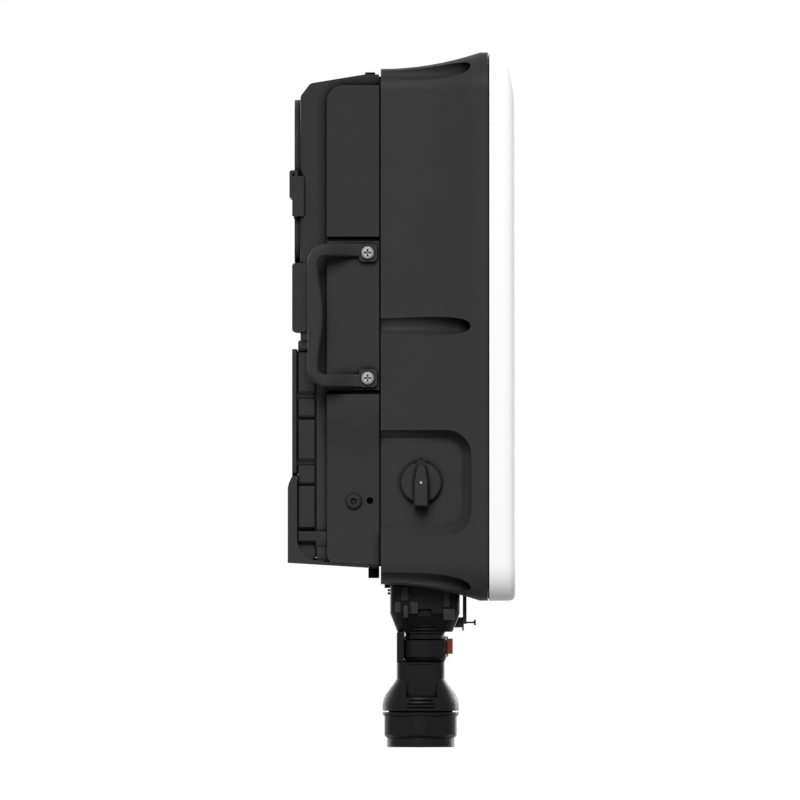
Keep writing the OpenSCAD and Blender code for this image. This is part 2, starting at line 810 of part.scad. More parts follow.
module fan_tray() {
    band_out = rear_half + clear + sheet_t;
    color(black) difference() {
        union() {
            span([-tray_half, tray_back, tray_top - 1.5], [tray_half, tray_y + 2, tray_low]);
            at_sides() along_y(tray_back - 0.5, tray_y + 2.3) for (p = pad_steps) tray_pad(p[0], p[1], tray_half + 3);
            // The lowest band runs on past the tray, along the rear housing's side
            at_sides() along_y(tray_back - 0.5, tray_y + 0.5) tray_pad(band_z[0], band_z[0] - band_z[1], band_out);
            at_sides() along_y(tray_y + 1, pad_y + 0.6) polygon([
                [rear_half + clear, band_z[0]], [band_out, band_z[0]], [band_out, band_z[1]], [rear_half + clear, band_z[1] - 6]
            ]);
            // Rib up to the guard plate, and a skirt down to the wall rest at both ends
            along_y(guard_back - guard_t - 0.1, tray_back - 1) translate([0, -fan_drop]) difference() {
                soft_rect(2 * tray_half, guard_h - 4, 4);
                soft_rect(2 * (tray_half - tray_wall), guard_h - 4 - 2 * tray_wall, 2);
            }
            for (s = [-1, 1]) span([s * (tray_half - tray_wall), tray_back - 1, tray_low + 1],
                [s * tray_half, tray_y + 1, foot_z(wall_y) + 0.4]);
            span([-tray_half + 6, tray_y + 2 + over, tray_top - 4], [tray_half - 6, tray_y, tray_low + 4]);
        }
        span([-tray_half + tray_wall, tray_back - tray_wall, tray_top - 1.5 - tray_wall],
             [tray_half - tray_wall, tray_y - over, tray_low + tray_wall]);
        for (x = [-fan_pitch, 0, fan_pitch]) rod_y(x, -fan_drop, fan_bore_r, tray_back + over, tray_back - tray_wall - over);
    }
}

// A pressed plate with ring grilles, one in front of each fan
guard_h = 127;
guard_back = wall_y - 4.4;
guard_t = 4.2;

module fan_guard() {
    guard_half = tray_half + 3;
    post_x = fan_side / 2 - 5;
    color(deep_black) union() {
        difference() {
            along_y(guard_back, guard_back - guard_t) translate([0, -fan_drop])
                soft_rect(2 * guard_half, guard_h, 5);
            for (x = [-fan_pitch, 0, fan_pitch]) rod_y(x, -fan_drop, fan_bore_r - 1, guard_back + over, guard_back - guard_t - over);
        }
        for (x = [-fan_pitch, 0, fan_pitch]) translate([x, guard_back - 1, -fan_drop]) rotate([90, 0, 0]) {
            for (r = [14:8.5:52]) difference() {
                cylinder(r = r + 1, h = 2);
                translate([0, 0, -over]) cylinder(r = r - 1, h = 2 + 2 * over);
            }
            for (a = [0, 45, 90, 135]) rotate(a)
                translate([-fan_bore_r, -1.2, 0]) cube([2 * fan_bore_r, 2.4, 2]);
            cylinder(r = 8, h = 2);
        }
        for (x = [-fan_pitch, 0, fan_pitch], s = [-1, 1], u = [-1, 1])
            rod_y(x + s * post_x, u * (guard_h / 2 - 10) - fan_drop, 3.5, guard_back - guard_t + over, tray_back);
    }
}

// FANS
fan_back = tray_back - tray_wall;

module fan_frame(x) {
    color(deep_black) translate([x, fan_back, -fan_drop]) rotate([90, 0, 0]) union() {
        difference() {
            linear_extrude(fan_d) soft_rect(fan_side, fan_side, 6);
            translate([0, 0, -over]) cylinder(r = fan_bore_r, h = fan_d + 2 * over);
            for (a = [-1, 1], b = [-1, 1]) translate([a * 52.5, b * 52.5, -over]) cylinder(r = 2.2, h = fan_d + 2 * over);
        }
        difference() {
            union() {
                translate([0, 0, fan_d - 4]) cylinder(r = fan_hub_r, h = 4);
                translate([0, 0, 9]) cylinder(r = 5, h = fan_d - 9);
                for (a = [20:90:290]) rotate(a)
                    translate([fan_hub_r - 3, -3, fan_d - 4]) cube([fan_bore_r - fan_hub_r + 4, 6, 3]);
            }
            translate([0, 0, 8]) cylinder(r = fan_shaft_r + shaft_fit, h = fan_d - 11);
        }
    }
}

// One section of a blade at radius r: a thin curved strip, pitched and wrapped round the axis
function blade_ring(r, chord, pitch, thick, mid) = [
    for (p = [[-0.5, 0], [-0.2, -0.5], [0.2, -0.5], [0.5, 0], [0.25, 0.62], [-0.15, 0.7]])
        let (t = p[0] * chord * cos(pitch) - p[1] * thick * sin(pitch),
             z = p[0] * chord * sin(pitch) + p[1] * thick * cos(pitch),
             a = t / r * 180 / PI)
        [r * cos(a), r * sin(a), mid + z]
];

module fan_rotor(x) {
    hub_h = 17;
    mid = 10;
    tip_r = fan_bore_r - tip_gap;
    root_r = fan_hub_r - 1.4;
    stations = 4;
    color(deep_black) translate([x, fan_back, -fan_drop]) rotate([90, 0, 0]) union() {
        difference() {
            translate([0, 0, 2]) cylinder(r = fan_hub_r, h = hub_h);
            translate([0, 0, 6]) cylinder(r = fan_hub_r - 4, h = hub_h);
        }
        translate([0, 0, 3]) cylinder(r = 3.5, h = 5);
        translate([0, 0, 3]) cylinder(r = fan_shaft_r, h = 17);
        for (b = [0:fan_blades - 1]) rotate(360 * b / fan_blades) skin([
            for (k = [0:stations])
                let (f = k / stations)
                blade_ring(root_r + (tip_r - root_r) * f, 17 + 18 * f, 48 - 22 * f, 2.4 - 0.9 * f, mid)
        ]);
    }
}

// WALL REST
rest_top = -fan_drop - guard_h / 2;

module wall_rest() {
    rest_half = rear_half + clear + sheet_t;
    bend = 22;
    cheek_y = wall_y - 9.4;
    cheek_front = cheek_y - bend - 5;
    cheek_low = foot_z(cheek_y - bend) + 1.2;
    color(deep_black) difference() {
        union() {
            along_x(-rest_half, rest_half) polygon([
                [wall_y, rest_top - 12], [wall_y - 1.2, rest_top - 7], [wall_y - 4.4, rest_top],
                [tray_back, rest_top], [tray_back, rest_top - sheet_t],
                [wall_y - sheet_t, rest_top - 12 - sheet_t],
                [wall_y - sheet_t, foot_z(wall_y - sheet_t)], [foot_front, foot_z(foot_front)],
                [foot_front, foot_z(foot_front) - sheet_t], [wall_y, foot_z(wall_y) - sheet_t]
            ]);
            // Cheeks at both ends, cut back in a quarter round above the foot
            at_sides() along_x(rest_half - sheet_t, rest_half) polygon([
                [wall_y - 0.5, rest_top - 12], [wall_y - 4.4, rest_top - 1], [cheek_y, rest_top - 1],
                for (a = [0:15:90])
                    [cheek_y - bend + bend * cos(a), cheek_low + bend - bend * sin(a)],
                [cheek_front, cheek_low], [cheek_front, foot_z(cheek_front) - 1],
                [wall_y - 0.5, foot_z(wall_y) - 1]
            ]);
        }
        span([-tray_half - 3.4, tray_back + 0.1, rest_top + over], [tray_half + 3.4, tray_y, tray_low - 0.5]);
    }
}

// HANDLES
// One handle as rings along a U: an arm that rises from its foot, a corner, the grip, and back.
// A station holds the outer edge's point [Y, Z], the direction outwards, the thickness in that
// direction, and how far the arm has risen from 0 at the foot to 1 at the grip.
handle_foot_y = rear_front_y + 19;
handle_foot_t = 5.5;
grip_w = 12;
bend_r = 19;
grip_belly = 5.2;
handle_round = 3.6;

function arm_x(t) = pad_half + clear + (rear_half + finger_gap - pad_half) * (1 - cos(180 * t)) / 2;
function arm_w(t) = handle_foot_t - clear + (grip_w - handle_foot_t + clear) * (1 - cos(180 * t)) / 2;

arm_stations = [for (i = [0:7]) let (t = i / 7)
    [handle_foot_y - 1.2 + (handle_back - bend_r - handle_foot_y + 1.2) * t, handle_top, 90, arm_t, 0.86 * t]];
bend_stations = [for (i = [1:6]) let (t = i / 6, a = 90 - 90 * t)
    [handle_back - bend_r + bend_r * cos(a), handle_top - bend_r + bend_r * sin(a), a,
     arm_t + (grip_t - arm_t) * t, 0.86 + 0.14 * t]];
grip_stations = [for (i = [1:5]) let (t = i / 10)
    [handle_back, handle_top - bend_r - (handle_l - 2 * bend_r) * t, 0, grip_t + grip_belly * pow(sin(180 * t), 2), 1]];
half_stations = concat(arm_stations, bend_stations, grip_stations);

// The other half is the mirror image about the handle's middle
handle_stations = concat(half_stations,
    [for (i = [len(half_stations) - 2:-1:0]) let (s = half_stations[i])
        [s[0], 2 * handle_mid - s[1], -s[2], s[3], s[4]]]);

function handle_ring(s) = [
    for (p = rounded(s[3], arm_w(s[4]), min(handle_round, arm_w(s[4]) / 2 - 0.2)))
        let (inward = p[0] + s[3] / 2)
        [arm_x(s[4]) + arm_w(s[4]) / 2 - p[1], s[0] - inward * cos(s[2]), s[1] - inward * sin(s[2])]
];

module handle() {
    color(deep_black) difference() {
        union() {
            skin([for (s = handle_stations) handle_ring(s)]);
            for (z = handle_screw_z) along_x(pad_half, pad_half + handle_foot_t)
                translate([handle_foot_y - 8, z]) soft_rect(18, 18, 4);
        }
        for (z = handle_screw_z) rod_x(handle_screw_y, z, handle_screw_r + screw_fit, pad_half - over, pad_half + 40);
    }
}

module handle_left() {
    mirror([1, 0, 0]) handle();
}

module handle_right() {
    handle();
}

module handle_screws() {
    foot_t = handle_foot_t;
    head_t = 4.4;
    color(steel) at_sides() for (z = handle_screw_z) translate([pad_half + foot_t, handle_screw_y, z]) rotate([0, 90, 0])
        difference() {
            union() {
                translate([0, 0, -foot_t - pad_t + 1]) cylinder(r = handle_screw_r - screw_fit, h = foot_t + pad_t);
                cylinder(r = handle_head_r, h = head_t - 1.6);
                translate([0, 0, head_t - 1.6]) cylinder(r1 = handle_head_r, r2 = handle_head_r - 2, h = 1.6);
            }
            for (a = [0, 90]) rotate(a) translate([-3.6, -0.8, head_t - 2.2]) cube([7.2, 1.6, 3]);
        }
}

// DC SWITCH
module dc_switch_knob() {
    base_x = -recess_x - 0.4;
    blade_foot = -24;
    blade_tip = 19;
    color(deep_black) translate([base_x, switch_y, -switch_drop]) rotate([0, -90, 0]) union() {
        cylinder(r = knob_r, h = knob_skirt - 1.5);
        translate([0, 0, knob_skirt - 1.5]) cylinder(r1 = knob_r, r2 = knob_r - 1.5, h = 1.5);
        hull() for (e = [[0, knob_skirt - 1], [blade_lean, knob_h - 0.6]])
            translate([0, 0, e[1]]) linear_extrude(0.6) offset(delta = -e[0]) polygon([
                [blade_foot, -blade_w / 2], [2, -blade_w / 2], [blade_tip - 3, -blade_w / 2 + 2.6], [blade_tip, -2.6],
                [blade_tip, 2.6], [blade_tip - 3, blade_w / 2 - 2.6], [2, blade_w / 2], [blade_foot, blade_w / 2]
            ]);
        translate([knob_r - 1.4, -4, 0]) cube([3.2, 8, knob_skirt - 1]);
        translate([0, 0, knob_h - 1]) cylinder(r = 2, h = 1);
        translate([0, 0, -wall_t - 10.4]) cylinder(r = shaft_r, h = wall_t + 11.4);
    }
}

module dc_switch_seal() {
    color(rubber) difference() {
        rod_x(switch_y, -switch_drop, shaft_r + 2, -recess_x + 0.2, -recess_x + wall_t);
        rod_x(switch_y, -switch_drop, shaft_r + 0.35, -recess_x - over, -recess_x + wall_t + over);
    }
}

module dc_switch_body() {
    face = -recess_x + wall_t;
    cell_t = 10;
    cells = 4;
    half_y = 26;
    half_z = 31;
    depth = cell_t + cells * (cell_t + 1);
    color([0.2, 0.2, 0.22]) difference() {
        union() {
            span([face, switch_y - half_y, -switch_drop - half_z], [face + cell_t, switch_y + half_y, -switch_drop + half_z]);
            for (k = [0:cells - 1]) let (x = face + cell_t - 1 + (cell_t + 1) * k)
                span([x, switch_y - half_y + 2, -switch_drop - half_z + 2], [x + cell_t, switch_y + half_y - 2, -switch_drop + half_z - 2]);
            span([face + cell_t - 1, switch_y - half_y + 6, -switch_drop - half_z + 6],
                 [face + depth - 2, switch_y + half_y - 6, -switch_drop + half_z - 6]);
        }
        rod_x(switch_y, -switch_drop, shaft_r + shaft_fit, face - over, face + 11);
    }
}

module earth_screw() {
    color(steel) translate([-dish_half, earth_y, -earth_drop]) rotate([0, -90, 0]) difference() {
        union() {
            translate([0, 0, -6]) cylinder(r = earth_screw_r - screw_fit, h = 7);
            cylinder(r = earth_head_r, h = 3);
            translate([0, 0, 3]) cylinder(r1 = earth_head_r, r2 = earth_head_r - 2, h = 1.6);
        }
        translate([0, 0, 1.4]) cylinder(r = 3.6, h = 4, $fn = 6);
    }
}

// MAINS CONNECTOR
socket_low = floor_z - socket_h - taper_h;
barrel_low = socket_low - 7;
lock_top = barrel_low - 1.4;
lock_low = lock_top - lock_h;
plug_top = lock_low - clear;
plug_low = plug_top - plug_h;
nut_top = plug_low - 1.6;

// Half width of the socket's taper at a height
taper_low_half = 27.6;
function taper_half(z) =
    socket_side / 2 - (socket_side / 2 - taper_low_half) * (floor_z - socket_h - z) / taper_h;

function socket_ring(z, wx, wy, r) = [for (p = rounded(wx, wy, r)) [-p[0], p[1], z]];

module socket_shell() {
    difference() {
        union() {
            skin([
                socket_ring(floor_z, socket_side - 4, socket_side, 10),
                socket_ring(floor_z - socket_h, socket_side - 4, socket_side, 10),
                socket_ring(socket_low, 26, 2 * taper_low_half, 10)
            ]);
            translate([0, 0, barrel_low]) cylinder(r = barrel_r - 1, h = taper_h + 14);
            for (k = [0:4]) translate([0, 0, barrel_low + 5.5 + 3.4 * k]) cylinder(r = barrel_r + 0.6, h = 1.7);
            translate([0, 0, barrel_low]) cylinder(r = barrel_r, h = 4.5);
            for (e = [[-16, 8, 10, 18], [-16, 5, 22, 34], [22, 7, 8, 24]])
                span([-socket_side / 2 + 1, -e[0] - e[1] / 2, floor_z - e[2]], [-socket_side / 2 + 4, -e[0] + e[1] / 2, floor_z - e[3] + 4]);
        }
        translate([0, 0, barrel_low - over]) cylinder(r = barrel_r - 4, h = 22);
        span([-socket_side, -6.5, floor_z - 25], [-socket_side / 2 + 5, 7.5, floor_z - 34]);
    }
}

module ac_socket() {
    color(deep_black) translate([-ac_x, socket_y, 0]) union() {
        socket_shell();
        span([-9, 34.5, floor_z], [9, 40.5, floor_z - 4]);
        for (k = [0:1]) span([-3, 34.5, floor_z - 5.2 - 3.2 * k], [3, 37.4, floor_z - 7.4 - 3.2 * k]);
    }
}

module backup_socket() {
    color(deep_black) translate([ac_x, socket_y, 0]) mirror([1, 0, 0]) socket_shell();
}

module backup_cap() {
    color(deep_black) translate([ac_x, socket_y, lock_top - 6]) difference() {
        union() {
            cylinder(r = barrel_r + 3, h = 6 + 1.4);
            for (a = [0:30:330]) rotate(a) translate([barrel_r + 2, -1.5, 0]) cube([2, 3, 7.4]);
        }
        translate([0, 0, -over]) cylinder(r = 12, h = 4);
    }
}

// The plug's contacts, standing in the socket
module ac_contacts() {
    color(copper) translate([-ac_x, socket_y, barrel_low + 8]) for (a = [0:72:288]) rotate(a)
        translate([8.5, 0, -4]) {
            cylinder(r = 2, h = 17);
            translate([0, 0, 14]) cylinder(r = 3, h = 3);
        }
}

module ac_lock_ring() {
    color(deep_black) translate([-ac_x, socket_y, lock_low]) difference() {
        intersection() {
            union() {
                translate([0, 0, 5.4]) cylinder(r = lock_r + 1.2, h = lock_h - 5.4);
                cylinder(r1 = lock_r - 3, r2 = lock_r - 0.6, h = 5.5);
            }
            rotate(12) cylinder(r = (lock_r) / cos(22.5), h = lock_h, $fn = 8);
        }
        translate([0, 0, -over]) cylinder(r = neck_r + 0.5, h = lock_h + 2 * over);
        span([-tab_w / 2 - clear, -lock_r - 3, lock_h - tab_h + 1.6 - clear], [tab_w / 2 + clear, -lock_r + 3.2, lock_h + over]);
    }
}

module ac_release_tab() {
    color(tab_red) translate([-ac_x, socket_y, lock_low + lock_h - tab_h + 1.6])
        rotate([90, 0, 0]) translate([0, 0, lock_r - 3.2 + tab_travel + 0.4])
            linear_extrude(8.6 - tab_travel - 0.4) translate([0, tab_h / 2]) soft_rect(tab_w, tab_h, 1.2);
}

// The plug's insert inside the lock ring, and the arm that latches beside the ring
module ac_plug_insert() {
    dy = socket_y - cable_y;
    arm_y = plug_w / 2;
    arm_w = 14;
    lip_y = sqrt(pow(lock_r + 1.2 + clear, 2) - pow(arm_w - 2, 2)) + clear;
    color(deep_black) translate([-ac_x, cable_y, 0]) {
        difference() {
            union() {
                translate([0, dy, plug_top]) cylinder(r = neck_r, h = lock_h + 1.2);
                translate([0, dy, plug_top + lock_h]) cylinder(r = barrel_r - 4 - clear, h = 9);
            }
            translate([0, dy, plug_top - 8]) cylinder(r = neck_r - 3.4, h = lock_h + 20);
        }
        // The arm is thicker above and below the ring, with lips that reach round it
        union() {
            span([-arm_w, arm_y, plug_top], [arm_w, dy + lock_r + 1.2 + clear, socket_low - 0.8]);
            span([-arm_w, arm_y, lock_top + clear], [arm_w, dy + barrel_r + 0.6 + clear, socket_low - 0.8]);
            for (s = [-1, 1]) {
                span([s * arm_w, arm_y, plug_top], [s * (arm_w - 2), dy + lip_y, socket_low - 0.8]);
                span([s * arm_w, arm_y, plug_top], [s * (arm_w - 2), dy + lip_y - 2.6, lock_low + 2.5]);
            }
        }
    }
}

module ac_plug_body() {
    dy = socket_y - cable_y;
    body_x = 49;
    color(deep_black) translate([-ac_x, cable_y, 0]) difference() {
        union() {
            skin([
                for (s = [[0, plug_w, body_x, 14], [16.4, plug_w, body_x, 14], [20, 52, 53, 17], [28, 64, 64, 27],
                        [32.8, 70.8, 70.8, 35.3], [38, 74.6, 74.6, 37.2], [42, 76.2, 76.2, 38], [plug_h, 76.2, 76.2, 38]])
                    socket_ring(plug_top - s[0], s[2] * (s[0] < 38 ? 1 : plug_flare_r / 38.1), s[1], s[3])
            ]);
            translate([0, 0, nut_top]) cylinder(r = nut_r - 6, h = plug_low - nut_top + 2);
            translate([0, 0, nut_top - 20]) cylinder(r = nut_r - 10, h = 21);
        }
        span([-60, dy + 19, plug_top - 34.8], [-body_x / 2 + 1, dy - 12.3, plug_top - 1.5]);
        for (k = [0:2]) span([-60, -16, plug_top - 38.5 - 3.6 * k], [-plug_flare_r + 3.6, 16, plug_top - 37.2 - 3.6 * k]);
        translate([0, 0, nut_top - 21]) cylinder(r = cable_r + 5, h = 24);
        translate([0, 0, nut_top + 2]) cylinder(r = cable_r + 2, h = plug_h - 6);
        translate([0, dy, plug_top - 8]) cylinder(r = neck_r - 3.4, h = lock_h + 20);
    }
}

module ac_gland_nut() {
    low = nut_top - nut_h;
    color(deep_black) translate([-ac_x, cable_y, 0]) difference() {
        union() {
            translate([0, 0, nut_top - 2.3]) cylinder(r = nut_r, h = 2.3);
            translate([0, 0, nut_top - 4.6]) cylinder(r1 = nut_flat, r2 = nut_r, h = 2.31);
            intersection() {
                union() {
                    translate([0, 0, nut_top - 22]) cylinder(r = nut_r, h = 19);
                    translate([0, 0, nut_top - 25.5]) cylinder(r1 = nut_flat - 1.8, r2 = nut_r, h = 3.5);
                }
                translate([0, 0, low]) rotate(-3) cylinder(r = nut_flat / cos(30), h = nut_h, $fn = 6);
            }
            translate([0, 0, low]) rotate_extrude() difference() {
                offset(r = 4.5) offset(delta = -4.5) square([2 * 33.6, 2 * 12], center = true);
                translate([-80, -80]) square([80, 160]);
                translate([-over, -80]) square([80, 80 - 0]);
            }
        }
        translate([0, 0, low - over]) cylinder(r = cable_r, h = nut_h + 2 * over);
        translate([0, 0, low + 10]) cylinder(r = nut_r - 10 + 0.2, h = nut_h);
    }
}

module ac_gland_seal() {
    low = nut_top - nut_h;
    color(rubber) translate([-ac_x, cable_y, low + 10]) difference() {
        cylinder(r = cable_r + 5 - screw_fit, h = 16);
        translate([0, 0, -over]) cylinder(r = cable_r - 1.5, h = 18);
    }
}

// OTHER SOCKETS UNDER THE BODY
module pv_sockets() {
    color(deep_black) for (p = pv_spots) translate([p[0], p[1], 0]) difference() {
        union() {
            translate([0, 0, floor_z - 5]) cylinder(r = pv_r + 2.6, h = 5, $fn = 6);
            translate([0, 0, floor_z - 30]) cylinder(r = pv_r, h = 26);
            translate([0, 0, floor_z - 30]) cylinder(r = pv_r + 1, h = 4);
            translate([0, 0, floor_z - 1]) cylinder(r = pv_r - 2 - screw_fit, h = 12);
        }
        translate([0, 0, floor_z - 31]) cylinder(r = pv_r - 2.6, h = 22);
    }
}

module battery_sockets() {
    color([0.1, 0.1, 0.1]) for (p = battery_spots) translate([p[0], p[1], 0]) difference() {
        union() {
            translate([0, 0, floor_z - 4]) linear_extrude(4) soft_rect(24, 30, 4);
            translate([0, 0, floor_z - 34]) cylinder(r = battery_r, h = 31);
            translate([0, 0, floor_z - 1]) cylinder(r = pv_r - 2 - screw_fit, h = 12);
        }
        translate([0, 0, floor_z - 35]) cylinder(r = battery_r - 2.2, h = 26);
    }
}

// Rubber caps that close the unused sockets
module socket_cap(spots, r, bore_r, low) {
    color(rubber) for (p = spots) translate([p[0], p[1], low]) union() {
        translate([0, 0, -3]) cylinder(r = r, h = 3);
        cylinder(r = bore_r - screw_fit, h = 8);
    }
}

module pv_caps() {
    socket_cap(pv_spots, pv_r + 1, pv_r - 2.6, floor_z - 30);
}

module battery_caps() {
    socket_cap(battery_spots, battery_r, battery_r - 2.2, floor_z - 34);
}

module com_port_cover() {
    color(deep_black) translate([com_x, socket_y, floor_z - 12]) union() {
        linear_extrude(12) soft_rect(28, 56, 5);
        translate([0, 0, -10]) linear_extrude(11) soft_rect(22, 48, 4);
        for (y = [-14, 0, 14]) translate([0, y, -20]) cylinder(r = 5.5, h = 11);
    }
}

module breather_vent() {
    color(deep_black) translate([vent_x, socket_y, floor_z - 7]) union() {
        cylinder(r = 9, h = 7, $fn = 6);
        translate([0, 0, -3]) cylinder(r1 = 6, r2 = 7.2, h = 3.5);
    }
}

// A folded strip beside the mains socket, with its knurled screw
bracket_y = seam_y - 82.2;

module socket_bracket() {
    low = floor_z - 40;
    color(deep_black) translate([-ac_x, 0, 0]) difference() {
        union() {
            span([-14, bracket_y, floor_z], [14, bracket_y - 3.7, low]);
            along_x(-10, 10) polygon([
                [socket_y - taper_half(low + 6.5) - clear, low + 6.5], [bracket_y - 1, low + 6.5],
                [bracket_y - 1, low - 3.6], [socket_y - taper_half(low - 3.6) - clear, low - 3.6]
            ]);
            span([-3, bracket_y + 0.5, low - 2], [3, bracket_y - 1, low - 7]);
        }
        rod_y(0, low + 1.4, 1, bracket_y + 1, bracket_y - 5);
    }
}

module bracket_screw() {
    z = floor_z - 38.6;
    color(deep_black) translate([-ac_x, 0, 0]) union() {
        rod_y(0, z, 0.85, bracket_y, bracket_y - 11.8);
        rod_y(0, z, 2.8, bracket_y - 11.2, bracket_y - 13.1);
    }
}

// INSIDE
module_t = 16;
board_t = 2;
board_y = rear_front_y - module_t;
control_y = board_y - 66;

// Ring chokes in an aluminium box sit low on the heat sink, and the power board above them
choke_pitch = 98;
choke_cell = 90;
choke_h = 118;
choke_z = window_low + 48.6 + choke_h / 2;
board_half = window_half - 6;
board_top = window_top - 6;
board_low = choke_z + choke_h / 2 + 40;
board_z = (board_top + board_low) / 2;
cap_pitch = 40;
cap_spots = [for (i = [-3:3], j = [0:1]) [cap_pitch * i, board_top - 23 - cap_pitch * j]];
pillar_spots = [for (s = [-1, 1], z = [board_low + 13, board_top - 13]) [s * (board_half - 10), z]];

module power_modules() {
    color([0.18, 0.18, 0.2]) for (x = [-120, 0, 120])
        along_y(rear_front_y, board_y) translate([x, board_z - 42]) soft_rect(62, 108, 3);
}

module power_board() {
    color(board_green) difference() {
        along_y(board_y, board_y - board_t) translate([0, board_z]) soft_rect(2 * board_half, board_top - board_low, 5);
        for (p = pillar_spots) rod_y(p[0], p[1], 2, board_y + over, board_y - board_t - over);
    }
}

module dc_link_capacitors() {
    color([0.12, 0.13, 0.16]) for (p = cap_spots)
        translate([p[0], board_y - board_t, p[1]]) rotate([90, 0, 0]) difference() {
            union() {
                cylinder(r = 17.5, h = 44);
                translate([0, 0, 44]) cylinder(r1 = 17.5, r2 = 16.4, h = 1.2);
            }
            for (a = [0, 90]) rotate(a) translate([-9, -0.4, 44.4]) cube([18, 0.8, 2]);
        }
}

module relays() {
    color([0.1, 0.1, 0.12]) for (i = [0:5])
        along_y(board_y - board_t, board_y - board_t - 26) translate([-130 + 52 * i, board_low + 23]) soft_rect(36, 22, 1.5);
}

module board_pillars() {
    color(steel) for (p = pillar_spots) {
        rod_y(p[0], p[1], 4.5, board_y - board_t, control_y);
        rod_y(p[0], p[1], 1.9, rear_front_y, board_y - board_t + over);
        rod_y(p[0], p[1], 4.5, rear_front_y, board_y);
    }
}

module control_board() {
    color(board_green) union() {
        along_y(control_y, control_y - board_t) translate([0, board_z]) soft_rect(2 * board_half, board_top - board_low - 10, 4);
        along_y(control_y - board_t, control_y - board_t - 3) translate([-30, board_z + 28]) soft_rect(28, 28, 1);
        along_y(control_y - board_t, control_y - board_t - 12) translate([110, board_low + 23]) soft_rect(70, 14, 1);
    }
}

module choke_box() {
    wall = 4;
    color(aluminium) difference() {
        along_y(rear_front_y, rear_front_y - 62) translate([0, choke_z])
            soft_rect(2 * choke_pitch + choke_cell + 2 * wall, choke_h, 6);
        for (x = [-choke_pitch, 0, choke_pitch]) along_y(rear_front_y - 6, rear_front_y - 63)
            translate([x, choke_z]) soft_rect(choke_cell, choke_h - 2 * wall, 5);
    }
}

module filter_chokes() {
    ring_w = 24;
    color(copper) for (x = [-choke_pitch, 0, choke_pitch]) translate([x, rear_front_y - 6, choke_z])
        rotate([90, 0, 0]) rotate_extrude()
            translate([choke_cell / 2 - 3 - ring_w / 2, 17]) soft_rect(ring_w, 34, 8);
}

module filter_board() {
    y = seam_y - back_t - 12;
    z = (window_low + floor_z) / 2 + 14;
    board_w = 2 * window_half - 42;
    color(board_green) union() {
        along_y(y, y - board_t) translate([20, z]) soft_rect(board_w, 36, 3);
        for (s = [-1, 1], dz = [-12, 12]) rod_y(20 + s * (board_w / 2 - 15), z + dz, 3.5, seam_y - back_t, y);
        along_y(y - board_t, y - board_t - 20) translate([120, z - 4]) soft_rect(84, 20, 2);
    }
}

front_cover();
cover_gasket();
status_lens();
cover_screws();
front_housing();
heat_sink();
heat_sink_gasket();
rear_housing();
rear_wall();
housing_screws();
rear_panel();
hanger_rail();
hanger_screws();
cable_trough();
fan_tray();
fan_guard();
fan_frame(-fan_pitch);  // fan_frame_left
fan_frame(0);  // fan_frame_middle
fan_frame(fan_pitch);  // fan_frame_right
fan_rotor(-fan_pitch);  // fan_rotor_left
fan_rotor(0);  // fan_rotor_middle
fan_rotor(fan_pitch);  // fan_rotor_right
wall_rest();
handle_left();
handle_right();
handle_screws();
dc_switch_knob();
dc_switch_body();
dc_switch_seal();
earth_screw();
ac_socket();
ac_plug_body();
ac_plug_insert();
ac_lock_ring();
ac_release_tab();
ac_gland_nut();
ac_gland_seal();
ac_contacts();
backup_socket();
backup_cap();
pv_sockets();
pv_caps();
battery_sockets();
battery_caps();
com_port_cover();
breather_vent();
socket_bracket();
bracket_screw();
power_modules();
power_board();
dc_link_capacitors();
relays();
board_pillars();
control_board();
choke_box();
filter_board();
filter_chokes();
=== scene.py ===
import math

import bmesh
import bpy
from mathutils import Matrix, Vector


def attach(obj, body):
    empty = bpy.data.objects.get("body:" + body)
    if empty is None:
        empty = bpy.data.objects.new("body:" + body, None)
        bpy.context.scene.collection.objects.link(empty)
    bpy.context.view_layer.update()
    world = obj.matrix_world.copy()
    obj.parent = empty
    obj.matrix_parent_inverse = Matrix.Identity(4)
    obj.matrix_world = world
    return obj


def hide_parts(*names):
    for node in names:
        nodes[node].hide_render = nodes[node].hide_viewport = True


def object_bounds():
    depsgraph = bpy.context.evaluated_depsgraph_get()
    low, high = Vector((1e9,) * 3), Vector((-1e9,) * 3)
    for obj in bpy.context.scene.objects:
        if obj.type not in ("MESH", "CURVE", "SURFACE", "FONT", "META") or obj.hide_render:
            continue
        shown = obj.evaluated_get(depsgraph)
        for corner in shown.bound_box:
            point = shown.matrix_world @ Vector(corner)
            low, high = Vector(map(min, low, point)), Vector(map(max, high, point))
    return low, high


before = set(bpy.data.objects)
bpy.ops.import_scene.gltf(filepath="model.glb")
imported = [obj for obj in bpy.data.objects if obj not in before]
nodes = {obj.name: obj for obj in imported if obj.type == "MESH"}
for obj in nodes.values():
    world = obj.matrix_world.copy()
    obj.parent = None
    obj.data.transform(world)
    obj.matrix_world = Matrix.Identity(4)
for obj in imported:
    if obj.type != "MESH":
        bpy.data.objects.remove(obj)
cad_box = [list(corner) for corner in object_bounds()]

# STUDIO
# A white surround and soft lamps, with a plain pale floor well below the unit, which hangs on a wall.
# The camera stands far off the unit's left side, so that the side shows square on.
scene = bpy.context.scene
scene.view_settings.view_transform = "Standard"

side_x = -0.24
frame_middle_y = -0.1066
frame_middle_z = -0.227
frame_width = 0.8
lens = 1300
sensor = 36

camera_data = bpy.data.cameras.new("camera")
camera_data.lens = lens
camera_data.sensor_width = sensor
camera_data.clip_end = 60
camera = bpy.data.objects.new("camera", camera_data)
camera.location = (side_x - frame_width * lens / sensor, frame_middle_y, frame_middle_z)
camera.rotation_euler = (math.radians(90), 0, math.radians(-90))
scene.collection.objects.link(camera)
scene.camera = camera


